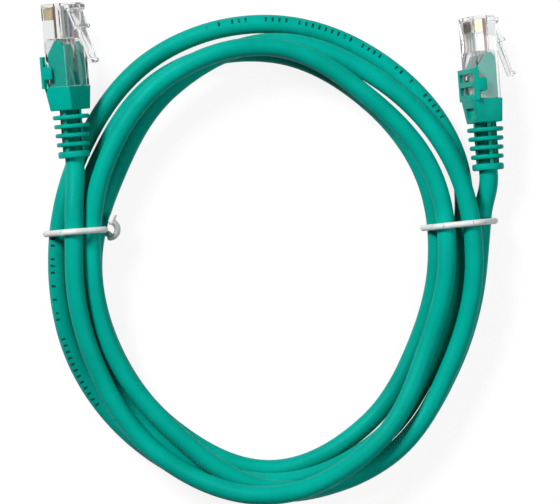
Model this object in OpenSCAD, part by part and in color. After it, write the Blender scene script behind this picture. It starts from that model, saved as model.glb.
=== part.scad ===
// Ethernet patch cable, wound and tied, lying flat with both plugs at its upper edge.
// Millimetres, +Z up from the surface it lies on, +Y towards the plug noses.

/* [Cable] */
// Outside diameter of the cable jacket
cable_d = 5.1; // [4.7:0.1:5.4]
// Radius of the middle of the coiled bundle
coil_r = 54; // [51:0.5:58]
// Room left between neighbouring strands of the coil
strand_gap = 0.45; // [0.42:0.01:0.6]

/* [Plug] */
// Width of the plug body across the contact row
plug_w = 11.68; // [11.4:0.02:12]
// Height of the plug body, contact face to latch face
plug_h = 6.5; // [6.3:0.05:7]
// Length of the plug body
plug_l = 22.4; // [21.4:0.1:23.2]
// Radius of the long edges of the plug body
plug_edge_r = 0.5; // [0.2:0.05:0.8]
// Width of the hollow at the back of the plug
hollow_w = 9.6; // [9.2:0.1:10.2]
// Depth of the hollow at the back of the plug
hollow_l = 13; // [12.2:0.1:13.6]
// Wall between the wire ends and the plug's nose
nose_wall = 0.8; // [0.5:0.05:1.2]
// How far the jacket reaches into the plug
jacket_in = 7.4; // [6.5:0.1:8]

/* [Contacts] */
// Spacing of the contacts
contact_pitch = 1.02; // [1:0.01:1.04]
// Thickness of a contact blade
contact_t = 0.36; // [0.3:0.02:0.44]
// Length of a contact blade along the plug
contact_l = 3.3; // [2.8:0.1:3.8]
// Plastic left in front of the contacts
contact_inset = 1.1; // [0.9:0.1:1.5]
// How far the contacts lie below the contact face
contact_recess = 0.45; // [0.3:0.05:0.7]

/* [Wires] */
// Diameter of one insulated wire
wire_d = 0.92; // [0.8:0.01:0.94]
// Height of the wire row above the middle of the plug
wire_row_z = 0.3; // [0:0.05:0.6]

/* [Latch] */
// Length of the latch from its root to its tip
latch_l = 14.6; // [13.6:0.1:15.6]
// Width of the latch from its root to its shoulders
latch_w = 6; // [5.6:0.1:6.4]
// Width of the latch behind its shoulders
latch_tip_w = 3.2; // [2.8:0.1:3.6]
// Thickness of the latch
latch_t = 1; // [0.8:0.05:1.2]
// Angle at which the free latch stands off the plug
latch_angle = 18; // [15:0.5:20]
// Distance from the root to the shoulders that catch in a jack
shoulder_at = 5.4; // [4.8:0.1:6.2]
// Height of the shoulders above the latch
shoulder_h = 0.7; // [0.4:0.05:1]
// Diameter of the round bead at the latch's root
bead_d = 1.3; // [1.1:0.05:1.5]

/* [Strain bar] */
// Width of the bar that grips the jacket
bar_w = 6.4; // [5.5:0.1:7]
// Length of the bar along the plug
bar_l = 2.4; // [1.8:0.1:2.8]
// Distance of the bar from the back of the plug
bar_at = 4; // [3.4:0.1:4.4]

/* [Boot] */
// Width of the boot's box
box_w = 11.4; // [10.8:0.1:12]
// Height of the boot's box on the latch side of its axis
box_top = 3.7; // [3.5:0.05:4]
// Length of the boot's box
box_l = 6.4; // [6:0.1:7]
// Narrowing of the box at its back, each side
box_taper = 0.8; // [0.4:0.05:1]
// Number of ribs on the boot's tail
rib_count = 5; // [4:1:6]
// Spacing of the ribs
rib_pitch = 2.46; // [2.2:0.02:2.8]
// Thickness of a rib
rib_t = 1.2; // [1:0.05:1.4]
// Diameter of the first rib, next to the box
rib_d = 9.9; // [9.2:0.1:10.4]
// Diameter of the end flange
flange_d = 8.6; // [8.2:0.1:9]
// Thickness of the end flange
flange_t = 1.8; // [1.4:0.1:2.2]
// Outside diameter of the sleeve that joins the ribs
sleeve_d = 6.4; // [6.2:0.05:7]
// Width of the windows between the ribs
window_w = 3.7; // [3:0.1:3.8]
// Length of the frame on the plug's contact face
frame_l = 8.4; // [7.8:0.1:9]
// Thickness of the frame on the contact face
frame_t = 1; // [0.7:0.05:1.3]
// Width of the frame's bars
frame_bar = 1.4; // [1.1:0.1:1.6]
// How far the frame's lips wrap round the plug's sides
lip_h = 2.4; // [1.8:0.1:2.8]
// Thickness of the frame's lips
lip_t = 0.8; // [0.6:0.05:1]
// Length of the boot's cheeks in the plug, latch side
cheek_l = 12.5; // [11.4:0.1:12.8]
// Length of the boot's cheeks in the plug, contact side
cheek_short_l = 8.6; // [7.8:0.1:9.4]
// Width of a cheek's tip
cheek_tip_w = 1.5; // [1:0.1:2]
// Length of the recess in the box, under the frame
recess_l = 3; // [2:0.1:3.6]
// Width of the recess in the box
recess_w = 6; // [4:0.1:7]

/* [Ties] */
// Diameter of the coated wire of a tie
tie_d = 1.7; // [1.5:0.05:1.75]
// Place of the left tie along Y
left_tie_y = 5.4; // [4.8:0.1:6]
// Place of the right tie along Y
right_tie_y = 7.8; // [7.2:0.1:8.4]

/* [Clearances] */
// Room of a contact blade in its slot, each side
contact_clear = 0.05; // [0.02:0.01:0.08]
// Room round the wires in their row
wire_clear = 0.05; // [0.02:0.01:0.08]
// Room round the jacket in the boot and in the plug
jacket_clear = 0.06; // [0.03:0.01:0.1]
// Room between the boot and the plug
boot_clear = 0.06; // [0.03:0.01:0.1]
// Room round the latch's bead
bead_clear = 0.08; // [0.05:0.01:0.12]
// Room between a tie and the strands that it holds
tie_clear = 0.15; // [0.1:0.01:0.25]

/* [Hidden] */
$fn = 48;
eps = 0.01;
// One contact and one wire for each of the eight ways
contact_count = 8;
jacket_colour = "#079b86";
boot_colour = "#06917d";
clear_colour = "#dfe9ea";
gold_colour = "#c9a24a";
tie_colour = "#f2f2f0";
// Wire colours in the order of the ways
wire_colours = ["#f4cfae", "#e0701c", "#c9e3c4", "#2456b0", "#c3d3ee", "#2c8a3c",
    "#dcc8b6", "#6b4226"];

// Coil: twelve clock points to a turn, counted from the left, down, right and over the top.
// Each row is one pass. A lane counts strand pitches outward from the middle of the bundle,
// a lift counts strand pitches up from a strand that lies on the surface.
pitch = cable_d + strand_gap;
points_a_turn = 12;
rings_a_turn = 24;
loops = 4.5;
coil_sides = 6;
coil_at = [-2.2, -2.7];
flat_cut = cable_d / 10;
rest_z = cable_d / 2 - flat_cut;
lane_before = 0.2;
lane_after = 1.3;
lane_rows = [
    [-0.12, 0.2, 1.15, 1.55, 0.45, -1.06, -1.2, -0.77, -0.4, 0.72, 0.55, -0.35],
    [-0.96, -0.8, -0.2, 1.3, 1.37, 0.34, 0.13, 0.35, 0.61, 1, 0.08, -0.97],
    [-0.97, -0.8, -0.2, 0.45, -0.5, -1.55, -1.65, -1.15, -0.5, 0.5, 0.8, 0.06],
    [-0.1, 0.12, 0.55, 1.04, 0.45, -0.52, -0.61, 0.7, 1.4, 1.94, 1.86, 1.08],
    [0.78, 1.04, 1.3, 1.64, 1.4, 0.47, 0.39]
];
lift_before = 1.9;
lift_after = 0.46;
lift_rows = [
    [2.05, 1.6, 1.85, 2.88, 1.95, 1.2, 1.56, 1.4, 1.4, 2, 2.05, 1.8],
    [1.5, 1.2, 1.57, 1.9, 1.15, 1.15, 1.58, 1.52, 1, 1, 1.05, 0.6],
    [0.46, 0.1, 0, 0, 0, 0.05, 0.46, 0.42, 0, 0, 0.02, 0.64],
    [0.95, 0.55, 0.7, 0.84, 0.52, 0.3, 0.6, 0.42, 0, 0, 0, 0.42],
    [0.46, 0.1, 0, 0, 0, 0.05, 0.46]
];
lanes = concat([lane_before], [for (row = lane_rows) for (v = row) v], [lane_after]);
lifts = concat([lift_before], [for (row = lift_rows) for (v = row) v], [lift_after]);

// Boot and plug lengths, along the plug's own axis from the back of the plug
tail_l = (rib_count - 1) * rib_pitch + rib_pitch - rib_t + flange_t;
boot_back = box_l + tail_l;

// Plugs: how far up the coil's radius each boot ends, then the plug's pitch, roll and yaw
floor_gap = 0.2;
lie_gap = 0.3;
left_tail_share = 0.522;
right_tail_share = 0.461;
left_turn = [2, 60, 4.7];
right_turn = [0, 108, 4.4];

function unit(v) = v / norm(v);
function flat(list) = [for (row = list) for (v = row) v];

// A smooth value through the points of a list
function smooth(list, at) =
    let (i = min(max(floor(at), 0), len(list) - 2), t = at - i,
        a = list[max(i - 1, 0)], b = list[i], c = list[i + 1], d = list[min(i + 2, len(list) - 1)])
    b + t * (c - a + t * (2 * a - 5 * b + 4 * c - d + t * (3 * (b - c) + d - a))) / 2;

// Middle of the strand after that many degrees of winding
function strand(turned) =
    let (at = turned * points_a_turn / 360 + 1,
        r = coil_r + pitch * smooth(lanes, at),
        z = rest_z + pitch * smooth(lifts, at))
    [coil_at.x - r * cos(turned), coil_at.y - r * sin(turned), z];
function heading(turned) = unit(strand(turned + 0.5) - strand(turned - 0.5));

// The left boot lies across the outer strand, the right plug just clears the surface
left_tail = [coil_at.x - coil_r + 0.7, coil_at.y + left_tail_share * coil_r,
    strand(1412).z + cable_d / 2 + flange_d / 2 + lie_gap];
right_tail = [coil_at.x + coil_r + 4.7, coil_at.y + right_tail_share * coil_r,
    max(box_top, plug_h / 2) * abs(cos(right_turn[1]))
        + max(plug_w, box_w) / 2 * sin(right_turn[1]) + floor_gap];

// Direction along a list of points
function along(path) = [for (i = [0:len(path) - 1])
    unit(path[min(i + 1, len(path) - 1)] - path[max(i - 1, 0)])];

// The same side direction carried down a path without twist
function square_to(v, t) = unit(v - (v * t) * t);
function carried(ways, first) =
    [for (i = 0, v = square_to(first, ways[0]); i < len(ways);
        i = i + 1, v = i < len(ways) ? square_to(v, ways[i]) : v) v];

function ring(p, way, side, r, sides, first) =
    [for (k = [0:sides - 1]) let (a = first + 360 * k / sides)
        p + r * (cos(a) * side + sin(a) * cross(way, side))];

// Triangles of a tube with flat ends
function tube_faces(rings, sides) = concat(
    [for (i = [0:rings - 2]) for (k = [0:sides - 1]) for (half = [0, 1])
        let (a = i * sides + k, b = i * sides + (k + 1) % sides)
        half == 0 ? [a, a + sides, b] : [b, a + sides, b + sides]],
    [for (k = [1:sides - 2]) [0, k, k + 1]],
    [for (k = [1:sides - 2]) let (z = (rings - 1) * sides) [z, z + k + 1, z + k]]);

module tube(path, d, sides, side, first = 0, floor_z = -1000) {
    ways = along(path);
    sidesteps = carried(ways, side);
    points = [for (i = [0:len(path) - 1])
        for (p = ring(path[i], ways[i], sidesteps[i], d / 2, sides, first))
            [p.x, p.y, max(p.z, floor_z)]];
    polyhedron(points, tube_faces(len(path), sides), convexity = 10);
}

// Points of the plug's own frame, X across, Y towards the nose, Z towards the latch
function turn_y(p, a) = [p.x * cos(a) + p.z * sin(a), p.y, p.z * cos(a) - p.x * sin(a)];
function turn_x(p, a) = [p.x, p.y * cos(a) - p.z * sin(a), p.y * sin(a) + p.z * cos(a)];
function turn_z(p, a) = [p.x * cos(a) - p.y * sin(a), p.x * sin(a) + p.y * cos(a), p.z];
function turned_to(p, turn) = turn_z(turn_x(turn_y(p, turn[1]), turn[0]), turn[2]);
function placed(p, tail, turn) = tail + turned_to(p + [0, boot_back, 0], turn);

module at_plug(tail, turn) {
    translate(tail) rotate([0, 0, turn[2]]) rotate([turn[0], 0, 0]) rotate([0, turn[1], 0])
        translate([0, boot_back, 0]) children();
}

module rounded(w, h, r) {
    square([w - 2 * r, h], center = true);
    square([w, h - 2 * r], center = true);
    for (x = [-1, 1], z = [-1, 1])
        translate([x * (w / 2 - r), z * (h / 2 - r)]) circle(r);
}

// A flat outline in X and Z drawn out along Y
module drawn_along(from, to) {
    translate([0, to, 0]) rotate([90, 0, 0]) linear_extrude(to - from) children();
}

// A flat outline in Y and Z drawn out across X, about the middle
module drawn_across(w) {
    translate([-w / 2, 0, 0]) rotate([90, 0, 90]) linear_extrude(w) children();
}

module block(low, high) {
    translate(low) cube(high - low);
}

// Plug sizes that follow from the driving ones
hollow_h = cable_d + 2 * (jacket_clear + boot_clear);
row_w = contact_count * contact_pitch;
row_h = wire_d + 2 * wire_clear;
wire_end = plug_l - nose_wall - wire_clear;
contact_back = plug_l - contact_inset - contact_l;
contact_top = wire_row_z - wire_d / 2 - wire_clear;
root_w = latch_w + 2;
root_t = 1;
root_h = bead_d + 0.3;
root_back = 0.5;
bead_r = bead_d / 2 + bead_clear;
hinge_y = plug_l - root_back - root_t - bead_d / 2;
hinge_z = plug_h / 2 + bead_r;
window_clear = 0.1;
bar_depth = plug_h / 2 - cable_d / 2 - jacket_clear;
bar_set = 0.3;
function contact_x(i) = (contact_count - 1) * contact_pitch / 2 - i * contact_pitch;

module plug_housing() {
    color(clear_colour) difference() {
        union() {
            drawn_along(0, plug_l) rounded(plug_w, plug_h, plug_edge_r);
            block([-root_w / 2, hinge_y, plug_h / 2 - plug_edge_r],
                [root_w / 2, plug_l - root_back, plug_h / 2 + root_h]);
        }
        block([-hollow_w / 2, -eps, -hollow_h / 2], [hollow_w / 2, hollow_l, hollow_h / 2]);
        block([-row_w / 2, hollow_l - eps, wire_row_z - row_h / 2],
            [row_w / 2, plug_l - nose_wall, wire_row_z + row_h / 2]);
        for (i = [0:contact_count - 1])
            block([contact_x(i) - contact_t / 2 - contact_clear, contact_back - contact_clear,
                -plug_h / 2 - eps],
                [contact_x(i) + contact_t / 2 + contact_clear, plug_l - contact_inset + contact_clear,
                wire_row_z]);
        block([-bar_w / 2 - window_clear, bar_at - window_clear, -plug_h / 2 - eps],
            [bar_w / 2 + window_clear, bar_at + bar_l + window_clear, 0]);
        translate([0, hinge_y, hinge_z]) rotate([0, 90, 0])
            cylinder(r = bead_r, h = root_w + 2 * eps, center = true);
    }
}

module plug_latch() {
    color(clear_colour) translate([0, hinge_y, hinge_z]) rotate([-latch_angle, 0, 0]) union() {
        rotate([0, 90, 0]) cylinder(d = bead_d, h = latch_w, center = true);
        block([-latch_w / 2, -shoulder_at, -latch_t / 2], [latch_w / 2, 0, latch_t / 2]);
        block([-latch_w / 2, -shoulder_at, 0],
            [latch_w / 2, -shoulder_at + latch_t, latch_t / 2 + shoulder_h]);
        block([-latch_tip_w / 2, -latch_l, -latch_t / 2], [latch_tip_w / 2, -shoulder_at + eps, latch_t / 2]);
        translate([0, -latch_l, latch_t / 4]) rotate([0, 90, 0])
            cylinder(d = latch_t * 1.5, h = latch_tip_w, center = true);
    }
}

module plug_contacts() {
    crown_r = 0.5;
    color(gold_colour) for (i = [0:contact_count - 1])
        translate([contact_x(i), contact_back, 0]) drawn_across(contact_t) {
            translate([0, -plug_h / 2 + contact_recess + crown_r])
                square([contact_l, contact_top + plug_h / 2 - contact_recess - crown_r]);
            translate([crown_r, -plug_h / 2 + contact_recess])
                square([contact_l - 2 * crown_r, 2 * crown_r]);
            for (y = [crown_r, contact_l - crown_r])
                translate([y, -plug_h / 2 + contact_recess + crown_r]) circle(crown_r);
        }
}

// Wires leave a ring in the jacket's end, spread sideways, then close up into the flat row
wire_ring_r = cable_d * 0.3;
wire_sides = 8;
wire_steps = 8;
wire_straight = 0.4;
function ramp(t) = let (u = max(0, min(1, t))) u * u * (3 - 2 * u);
function wire_start(i) =
    let (a = 180 * (floor(i / 2) + 0.5) / (contact_count / 2), up = i % 2 == 0 ? 1 : -1)
    [wire_ring_r * cos(a), jacket_in, up * wire_ring_r * sin(a)];
function wire_path(i) =
    let (a = wire_start(i), b = [contact_x(i), hollow_l, wire_row_z], from = a.y + wire_straight)
    concat([a],
        [for (k = [0:wire_steps]) let (t = k / wire_steps)
            [a.x + (b.x - a.x) * ramp(1.6 * t), from + (b.y - from) * t,
                a.z + (b.z - a.z) * ramp((t - 0.4) / 0.6)]],
        [[b.x, wire_end, b.z]]);

module wire(i) {
    color(wire_colours[i]) tube(wire_path(i), wire_d, wire_sides, [1, 0, 0], 22.5);
}

module strain_bar() {
    color(clear_colour) drawn_across(bar_w) polygon([
        [bar_at, -plug_h / 2 + bar_set],
        [bar_at + bar_l, -plug_h / 2 + bar_set],
        [bar_at + bar_l, -plug_h / 2 + bar_depth - jacket_clear / 2],
        [bar_at, -plug_h / 2 + bar_depth]]);
}

module jacket_end() {
    color(jacket_colour) translate([0, -boot_back, 0]) rotate([-90, 0, 0])
        cylinder(d = cable_d, h = boot_back + jacket_in);
}

// Boot: box, ribbed tail, frame on the contact face and cheeks inside the plug's hollow
rib_gap = rib_pitch - rib_t;
bore_d = cable_d + 2 * jacket_clear;
frame_z = -plug_h / 2 - boot_clear;
edge_l = 0.2;
box_edge_r = 0.7;
top_taper = 0.2;
recess_rim = 1.1;
recess_floor = 0.5;
window_reach = sleeve_d + rib_t;
function rib_y(i) = -box_l - rib_gap - i * rib_pitch;
function rib_size(i) = rib_d + (flange_d - rib_d) * i / (rib_count - 1);

module boot_box() {
    low = frame_z - frame_t;
    h = box_top - low;
    back_h = h - box_taper - top_taper;
    hull() {
        drawn_along(-edge_l - boot_clear, -boot_clear)
            translate([0, low + h / 2]) rounded(box_w, h, box_edge_r, $fn = 32);
        drawn_along(-box_l, -box_l + edge_l)
            translate([0, low + box_taper + back_h / 2])
                rounded(box_w - 2 * box_taper, back_h, box_edge_r, $fn = 32);
    }
}

module boot_ribs() {
    translate([0, -box_l + eps, 0]) rotate([90, 0, 0]) cylinder(d = sleeve_d, h = tail_l);
    for (i = [0:rib_count - 1]) {
        t = i == rib_count - 1 ? flange_t : rib_t;
        translate([0, rib_y(i), 0]) rotate([90, 0, 0]) cylinder(d = rib_size(i), h = t);
    }
}

module rib_windows() {
    for (i = [0:rib_count - 1], w = [[window_w, window_reach], [window_reach, window_w]])
        rotate([0, 45, 0])
            block([-w[0] / 2, rib_y(i), -w[1] / 2], [w[0] / 2, rib_y(i) + rib_gap, w[1] / 2]);
}

module box_recess() {
    floor_z = -bore_d / 2 - recess_floor;
    block([-recess_w / 2, -box_l + recess_rim, frame_z - frame_t - eps],
        [recess_w / 2, -box_l + recess_rim + recess_l, floor_z]);
}

module contact_frame() {
    frame_w = plug_w + 2 * (boot_clear + lip_t);
    window_l = (frame_l - 3 * frame_bar + boot_clear) / 2;
    difference() {
        block([-frame_w / 2, -boot_clear - edge_l, frame_z - frame_t], [frame_w / 2, frame_l, frame_z]);
        for (y = [frame_l - frame_bar - window_l, frame_l - 2 * frame_bar - 2 * window_l])
            block([-frame_w / 2 + frame_bar, y, frame_z - frame_t - eps],
                [frame_w / 2 - frame_bar, y + window_l, frame_z + eps]);
    }
    for (x = [-1, 1])
        block([x > 0 ? plug_w / 2 + boot_clear : -frame_w / 2, frame_l - 3 * frame_bar - window_l,
            frame_z - eps],
            [x > 0 ? frame_w / 2 : -plug_w / 2 - boot_clear, frame_l - 2 * frame_bar, frame_z + lip_h]);
}

module cheeks() {
    h = hollow_h / 2 - boot_clear;
    outline = [[-2 * eps - boot_clear, -h], [cheek_short_l, -h], [cheek_l, 0], [cheek_l, cheek_tip_w],
        [(cheek_short_l + cheek_l) / 2, h], [-2 * eps - boot_clear, h]];
    way_w = row_w / 2 + 2 * window_clear;
    way_h = 2 * wire_ring_r + wire_d + 2 * window_clear;
    spread = jacket_in + (hollow_l - jacket_in) / 2;
    difference() {
        drawn_across(hollow_w - 2 * boot_clear) polygon(outline);
        block([-bar_w / 2 - 2 * window_clear, bar_at - 2 * window_clear, -h - eps],
            [bar_w / 2 + 2 * window_clear, hollow_l, 0]);
        translate([0, 0, -way_h / 2]) linear_extrude(way_h) polygon([
            [-bore_d / 2, jacket_in], [bore_d / 2, jacket_in], [way_w, spread], [way_w, hollow_l],
            [-way_w, hollow_l], [-way_w, spread]]);
    }
}

module boot() {
    color(boot_colour) difference() {
        union() {
            boot_box();
            boot_ribs();
            contact_frame();
            cheeks();
        }
        rib_windows();
        box_recess();
        translate([0, -boot_back - eps, 0]) rotate([-90, 0, 0])
            cylinder(d = bore_d, h = boot_back + hollow_l);
    }
}

// Cable: the coil's own rings, with a straight run of one diameter at each end
wound = 360 * loops;
coil_path = concat(
    [strand(0) - cable_d * heading(0)],
    [for (i = [0:rings_a_turn * loops]) strand(i * 360 / rings_a_turn)],
    [strand(wound) + cable_d * heading(wound)]);

module cable_coil() {
    color(jacket_colour) tube(coil_path, cable_d, coil_sides, [0, 0, 1], 30, 0);
}

// Leads run straight on from the coil past the tie, then ease into the boot's axis
lead_sides = 10;
lead_steps = 8;
lead_straight = 1.5 * cable_d;
tail_straight = 0.3 * cable_d;
function eased(a, b, from, to) =
    let (reach = norm(b - a))
    [for (k = [0:lead_steps]) let (t = k / lead_steps, u = 1 - t)
        u * u * u * a + 3 * u * u * t * (a + from * reach / 3)
            + 3 * u * t * t * (b - to * reach / 3) + t * t * t * b];
function lead(start, from, tail, turn) =
    let (to = turned_to([0, 1, 0], turn), a = start + lead_straight * from, b = tail - tail_straight * to)
    concat([start], eased(a, b, from, to), [tail]);
left_lead_path = lead(coil_path[0], -heading(0), left_tail, left_turn);
right_lead_path = lead(coil_path[len(coil_path) - 1], heading(wound), right_tail, right_turn);

module lead_tube(path) {
    color(jacket_colour) tube(path, cable_d, lead_sides, [0, 0, 1], 18);
}

// Ties: a ring round the bundle's corner strands that ends side by side
tie_sides = 8;
arc_steps = 4;
tie_reach = cable_d / 2 + tie_clear + tie_d / 2;

// A tie's plane stands upright through a point and runs out from the coil's middle
left_tilt = 4.3;
right_tilt = 5.8;
left_tie_point = [coil_at.x - coil_r, left_tie_y, 0];
left_out = [-cos(left_tilt), -sin(left_tilt), 0];
right_tie_point = [coil_at.x + coil_r, right_tie_y, 0];
right_out = [cos(right_tilt), sin(right_tilt), 0];
function beside(out) = [-out.y, out.x, 0];
function off_plane(p, at, out) = (p - at) * beside(out);
function in_plane(p, at, out) = [(p - at) * out, p.z];

// Middle of the coil's tube between its rings
function laid(turned) =
    let (at = turned * rings_a_turn / 360, i = floor(at), step = 360 / rings_a_turn)
    strand(i * step) + (at - i) * (strand((i + 1) * step) - strand(i * step));

// Turn at which the coil passes through a tie's plane, by steps from a near turn
function crossing(turned, at, out, steps = 6) =
    steps == 0 ? turned :
    let (rate = (strand(turned + 1) - strand(turned - 1)) * beside(out) / 2)
    crossing(turned - off_plane(laid(turned), at, out) / rate, at, out, steps - 1);
function strand_in(turned, at, out) = in_plane(laid(crossing(turned, at, out)), at, out);
function lead_in(path, way, at, out) =
    let (run = -off_plane(path[0], at, out) / (way * beside(out)))
    in_plane(path[0] + run * way, at, out);

function edge_way(a, b) = let (d = unit(b - a)) [d.y, -d.x];
function angle_of(v) = atan2(v.y, v.x);
function corner_arc(before, at, after) =
    let (a = angle_of(edge_way(before, at)), b = angle_of(edge_way(at, after)),
        sweep = b < a ? b + 360 - a : b - a)
    [for (k = [0:arc_steps]) let (w = a + sweep * k / arc_steps)
        at + tie_reach / cos(sweep / arc_steps / 2) * [cos(w), sin(w)]];
function tie_ring(corners) =
    let (n = len(corners))
    flat([for (i = [0:n - 1])
        corner_arc(corners[(i + n - 1) % n], corners[i], corners[(i + 1) % n])]);
function in_ring_plane(list) = [for (p = list) [p.x, p.y, 0]];

// Left tie: its low end hooks round the inner side and over its high end, which hangs inside the hook
hook_r = 1.32 * tie_d;
hook_rise = 2.6 * tie_d;
hook_steps = 6;
twist_r = tie_d / 2 + tie_clear / 2;
left_corners = [strand_in(720, left_tie_point, left_out), strand_in(1440, left_tie_point, left_out),
    lead_in(left_lead_path, -heading(0), left_tie_point, left_out), strand_in(360, left_tie_point, left_out)];
left_ring = tie_ring(left_corners);
left_low = left_ring[0];
left_high = left_ring[len(left_ring) - 1];
left_tie_path = concat(
    [[left_low.x - tie_d, left_low.y + hook_rise, -2.3 * tie_d]],
    [for (k = [hook_steps:-1:1]) let (t = k / hook_steps, a = 90 + 160 * t)
        [left_low.x + hook_r * cos(a), left_low.y + hook_rise * t, hook_r * sin(a)]],
    [for (k = [0:arc_steps]) [left_ring[k].x, left_ring[k].y, hook_r * (1 - k / arc_steps)]],
    in_ring_plane([for (k = [arc_steps + 1:len(left_ring) - 1]) left_ring[k]]),
    in_ring_plane([left_high - [0, tie_d], [left_high.x, left_low.y + 1.2 * tie_d]]));

// Right tie: its ends lie side by side under the lead, out of sight
tuck_l = 7;
right_corners = [lead_in(right_lead_path, heading(wound), right_tie_point, right_out),
    strand_in(540, right_tie_point, right_out), strand_in(180, right_tie_point, right_out),
    strand_in(900, right_tie_point, right_out)];
right_ring = tie_ring(right_corners);
tuck_at = right_ring[0];
right_tie_path = concat(
    [[tuck_at.x + twist_r, tuck_at.y, tuck_l], [tuck_at.x + twist_r, tuck_at.y, tie_d]],
    in_ring_plane(right_ring),
    [[tuck_at.x - 2 * tie_d, tuck_at.y, 0], [tuck_at.x - twist_r - tie_clear, tuck_at.y, 1.4 * tie_d],
        [tuck_at.x - twist_r - tie_clear, tuck_at.y, tuck_l]]);

module tie(path, at, out) {
    placed_path = [for (p = path) at + p.x * out + [0, 0, p.y] + p.z * beside(out)];
    color(tie_colour) tube(placed_path, tie_d, tie_sides, out, 22.5);
}

// Least room from one pass of the coil to another, measured from points to the runs between points
gap_step = 3;
function to_run(p, a, b) =
    let (t = max(0, min(1, (p - a) * (b - a) / ((b - a) * (b - a))))) norm(p - a - t * (b - a));
function least_gap() = min([for (w = [0:gap_step:wound - 315]) let (p = strand(w))
    for (k = [1:ceil(loops)]) for (s = [-8:7])
        let (v = w + 360 * k + s * gap_step)
        if (v + gap_step <= wound) to_run(p, strand(v), strand(v + gap_step))]) - cable_d;
function length_of(path) = [for (i = 0, sum = 0; i < len(path);
    i = i + 1, sum = i < len(path) ? sum + norm(path[i] - path[i - 1]) : sum) sum][len(path) - 1];

union() {
    echo(least_gap = least_gap());
    echo(coil_length = length_of(coil_path));
    echo(lead_lengths = [length_of(left_lead_path), length_of(right_lead_path)]);
    echo(tie_lowest = [for (path = [left_tie_path, right_tie_path]) min([for (p = path) p.y]) - tie_d / 2]);
    for (end = [[left_tail, left_turn], [right_tail, right_turn]]) {
        echo(latch_axis_at = placed([0, hinge_y, hinge_z], end[0], end[1]));
        echo(latch_axis = turned_to([1, 0, 0], end[1]));
        echo(nose_at = placed([0, plug_l, 0], end[0], end[1]));
        echo(plug_axis = turned_to([0, 1, 0], end[1]));
    }
}

at_plug(left_tail, left_turn) plug_housing();  // left_plug_housing
at_plug(left_tail, left_turn) plug_latch();  // left_plug_latch
at_plug(left_tail, left_turn) plug_contacts();  // left_plug_contacts
at_plug(left_tail, left_turn) strain_bar();  // left_strain_bar
at_plug(left_tail, left_turn) boot();  // left_boot
at_plug(left_tail, left_turn) jacket_end();  // left_jacket_end
lead_tube(left_lead_path);  // left_lead
tie(left_tie_path, left_tie_point, left_out);  // left_tie
for (i = [0:contact_count - 1])
    at_plug(left_tail, left_turn) wire(i);
cable_coil();
at_plug(right_tail, right_turn) plug_housing();  // right_plug_housing
at_plug(right_tail, right_turn) plug_latch();  // right_plug_latch
at_plug(right_tail, right_turn) plug_contacts();  // right_plug_contacts
at_plug(right_tail, right_turn) strain_bar();  // right_strain_bar
at_plug(right_tail, right_turn) boot();  // right_boot
at_plug(right_tail, right_turn) jacket_end();  // right_jacket_end
lead_tube(right_lead_path);  // right_lead
tie(right_tie_path, right_tie_point, right_out);  // right_tie
for (i = [0:contact_count - 1])
    at_plug(right_tail, right_turn) wire(i);
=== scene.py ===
import bpy
import bmesh
from math import atan2, cos, floor, pi, radians, sin
from mathutils import Matrix, Vector
from mathutils.kdtree import KDTree


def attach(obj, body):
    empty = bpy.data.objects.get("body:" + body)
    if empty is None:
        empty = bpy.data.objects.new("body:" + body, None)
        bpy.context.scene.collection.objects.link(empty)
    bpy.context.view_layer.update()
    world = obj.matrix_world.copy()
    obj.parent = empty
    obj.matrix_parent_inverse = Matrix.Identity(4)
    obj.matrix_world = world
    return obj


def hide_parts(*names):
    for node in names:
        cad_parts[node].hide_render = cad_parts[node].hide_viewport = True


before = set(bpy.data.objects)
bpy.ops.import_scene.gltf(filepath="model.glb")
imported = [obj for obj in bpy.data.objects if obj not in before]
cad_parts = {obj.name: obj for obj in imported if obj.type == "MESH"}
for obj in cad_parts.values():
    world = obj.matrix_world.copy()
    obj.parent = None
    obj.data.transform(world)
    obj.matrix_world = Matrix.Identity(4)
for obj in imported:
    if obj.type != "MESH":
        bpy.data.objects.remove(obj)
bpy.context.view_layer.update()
scene = bpy.context.scene
mm = 0.001
print("frame loaded,", len(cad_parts), "nodes")

# straight down with a long lens
cameraSet = {"height": 1.1, "viewWidth": 0.152, "aimZ": 0.006, "sensor": 36.0, "clip": (0.01, 50.0)}


def makeCamera():
    data = bpy.data.cameras.new("photoCamera")
    data.sensor_width = cameraSet["sensor"]
    data.sensor_fit = "HORIZONTAL"
    data.lens = cameraSet["sensor"] * (cameraSet["height"] - cameraSet["aimZ"]) / cameraSet["viewWidth"]
    data.clip_start, data.clip_end = cameraSet["clip"]
    cam = bpy.data.objects.new("photoCamera", data)
    cam.location = (0, 0, cameraSet["height"])
    scene.collection.objects.link(cam)
    scene.camera = cam


makeCamera()

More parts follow.
